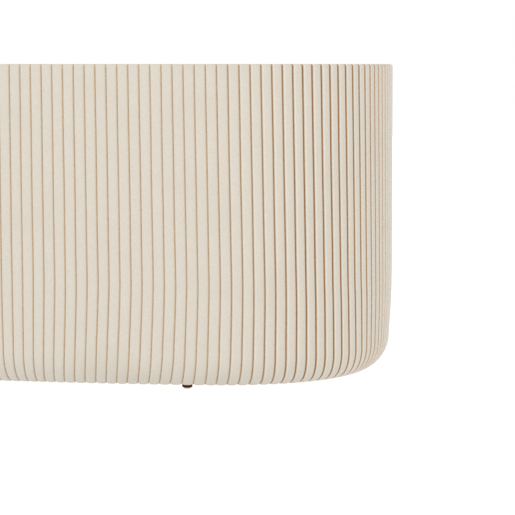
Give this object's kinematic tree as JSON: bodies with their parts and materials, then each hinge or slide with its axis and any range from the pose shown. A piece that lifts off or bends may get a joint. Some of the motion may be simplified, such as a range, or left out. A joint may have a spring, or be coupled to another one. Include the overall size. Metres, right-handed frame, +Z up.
{
  "type": "oval upholstered pouffe",
  "caption": "Oval upholstered pouffe in wide-wale cream cord, with a turned-under bottom edge and low dark glides.",
  "frame": {"origin": "on the floor under the middle of the pouffe", "axes": "+X along the length, -Y towards the front, +Z up"},
  "size_m": [0.8, 0.516, 0.44],
  "materials": {
    "cord_cloth": "soft short-pile cord with wide vertical ribs",
    "dust_cloth": "thin non-woven cloth",
    "foam": "open-cell foam",
    "wadding": "loose polyester fibre",
    "felt": "grey needle felt",
    "webbing": "woven elastic webbing",
    "plywood": "birch plywood, unfinished",
    "hardboard": "smooth hardboard, unfinished",
    "steel": "zinc plated",
    "glide_plastic": "matt moulded plastic"
  },
  "bodies": {
    "root": {"base_board": "plywood", "top_ring": "plywood", "former_1": "plywood", "former_2": "plywood", "former_3": "plywood", "former_4": "plywood", "former_5": "plywood", "former_6": "plywood", "former_7": "plywood", "former_8": "plywood", "former_9": "plywood", "former_10": "plywood", "former_11": "plywood", "former_12": "plywood", "glue_blocks": "plywood", "base_screws": "steel", "ring_screws": "steel", "side_panel": "hardboard", "panel_staples": "steel", "webbing_long_1": "webbing", "webbing_long_2": "webbing", "webbing_long_3": "webbing", "webbing_long_4": "webbing", "webbing_cross_1": "webbing", "webbing_cross_2": "webbing", "webbing_cross_3": "webbing", "webbing_cross_4": "webbing", "webbing_cross_5": "webbing", "webbing_cross_6": "webbing", "webbing_cross_7": "webbing", "webbing_cross_8": "webbing", "webbing_cross_9": "webbing", "webbing_staples": "steel", "felt_pad": "felt", "seat_foam": "foam", "seat_wadding": "wadding", "side_foam": "foam", "base_roll": "foam", "side_wadding": "wadding", "side_cover": "cord_cloth", "top_cover": "cord_cloth", "welt": "cord_cloth", "hem_staples": "steel", "dust_cover": "dust_cloth", "dust_staples": "steel", "glide_front_right": "glide_plastic", "glide_front_left": "glide_plastic", "glide_back_right": "glide_plastic", "glide_back_left": "glide_plastic", "glide_end_right": "glide_plastic", "glide_end_left": "glide_plastic", "glide_nails": "steel"}
  },
  "joints": []
}
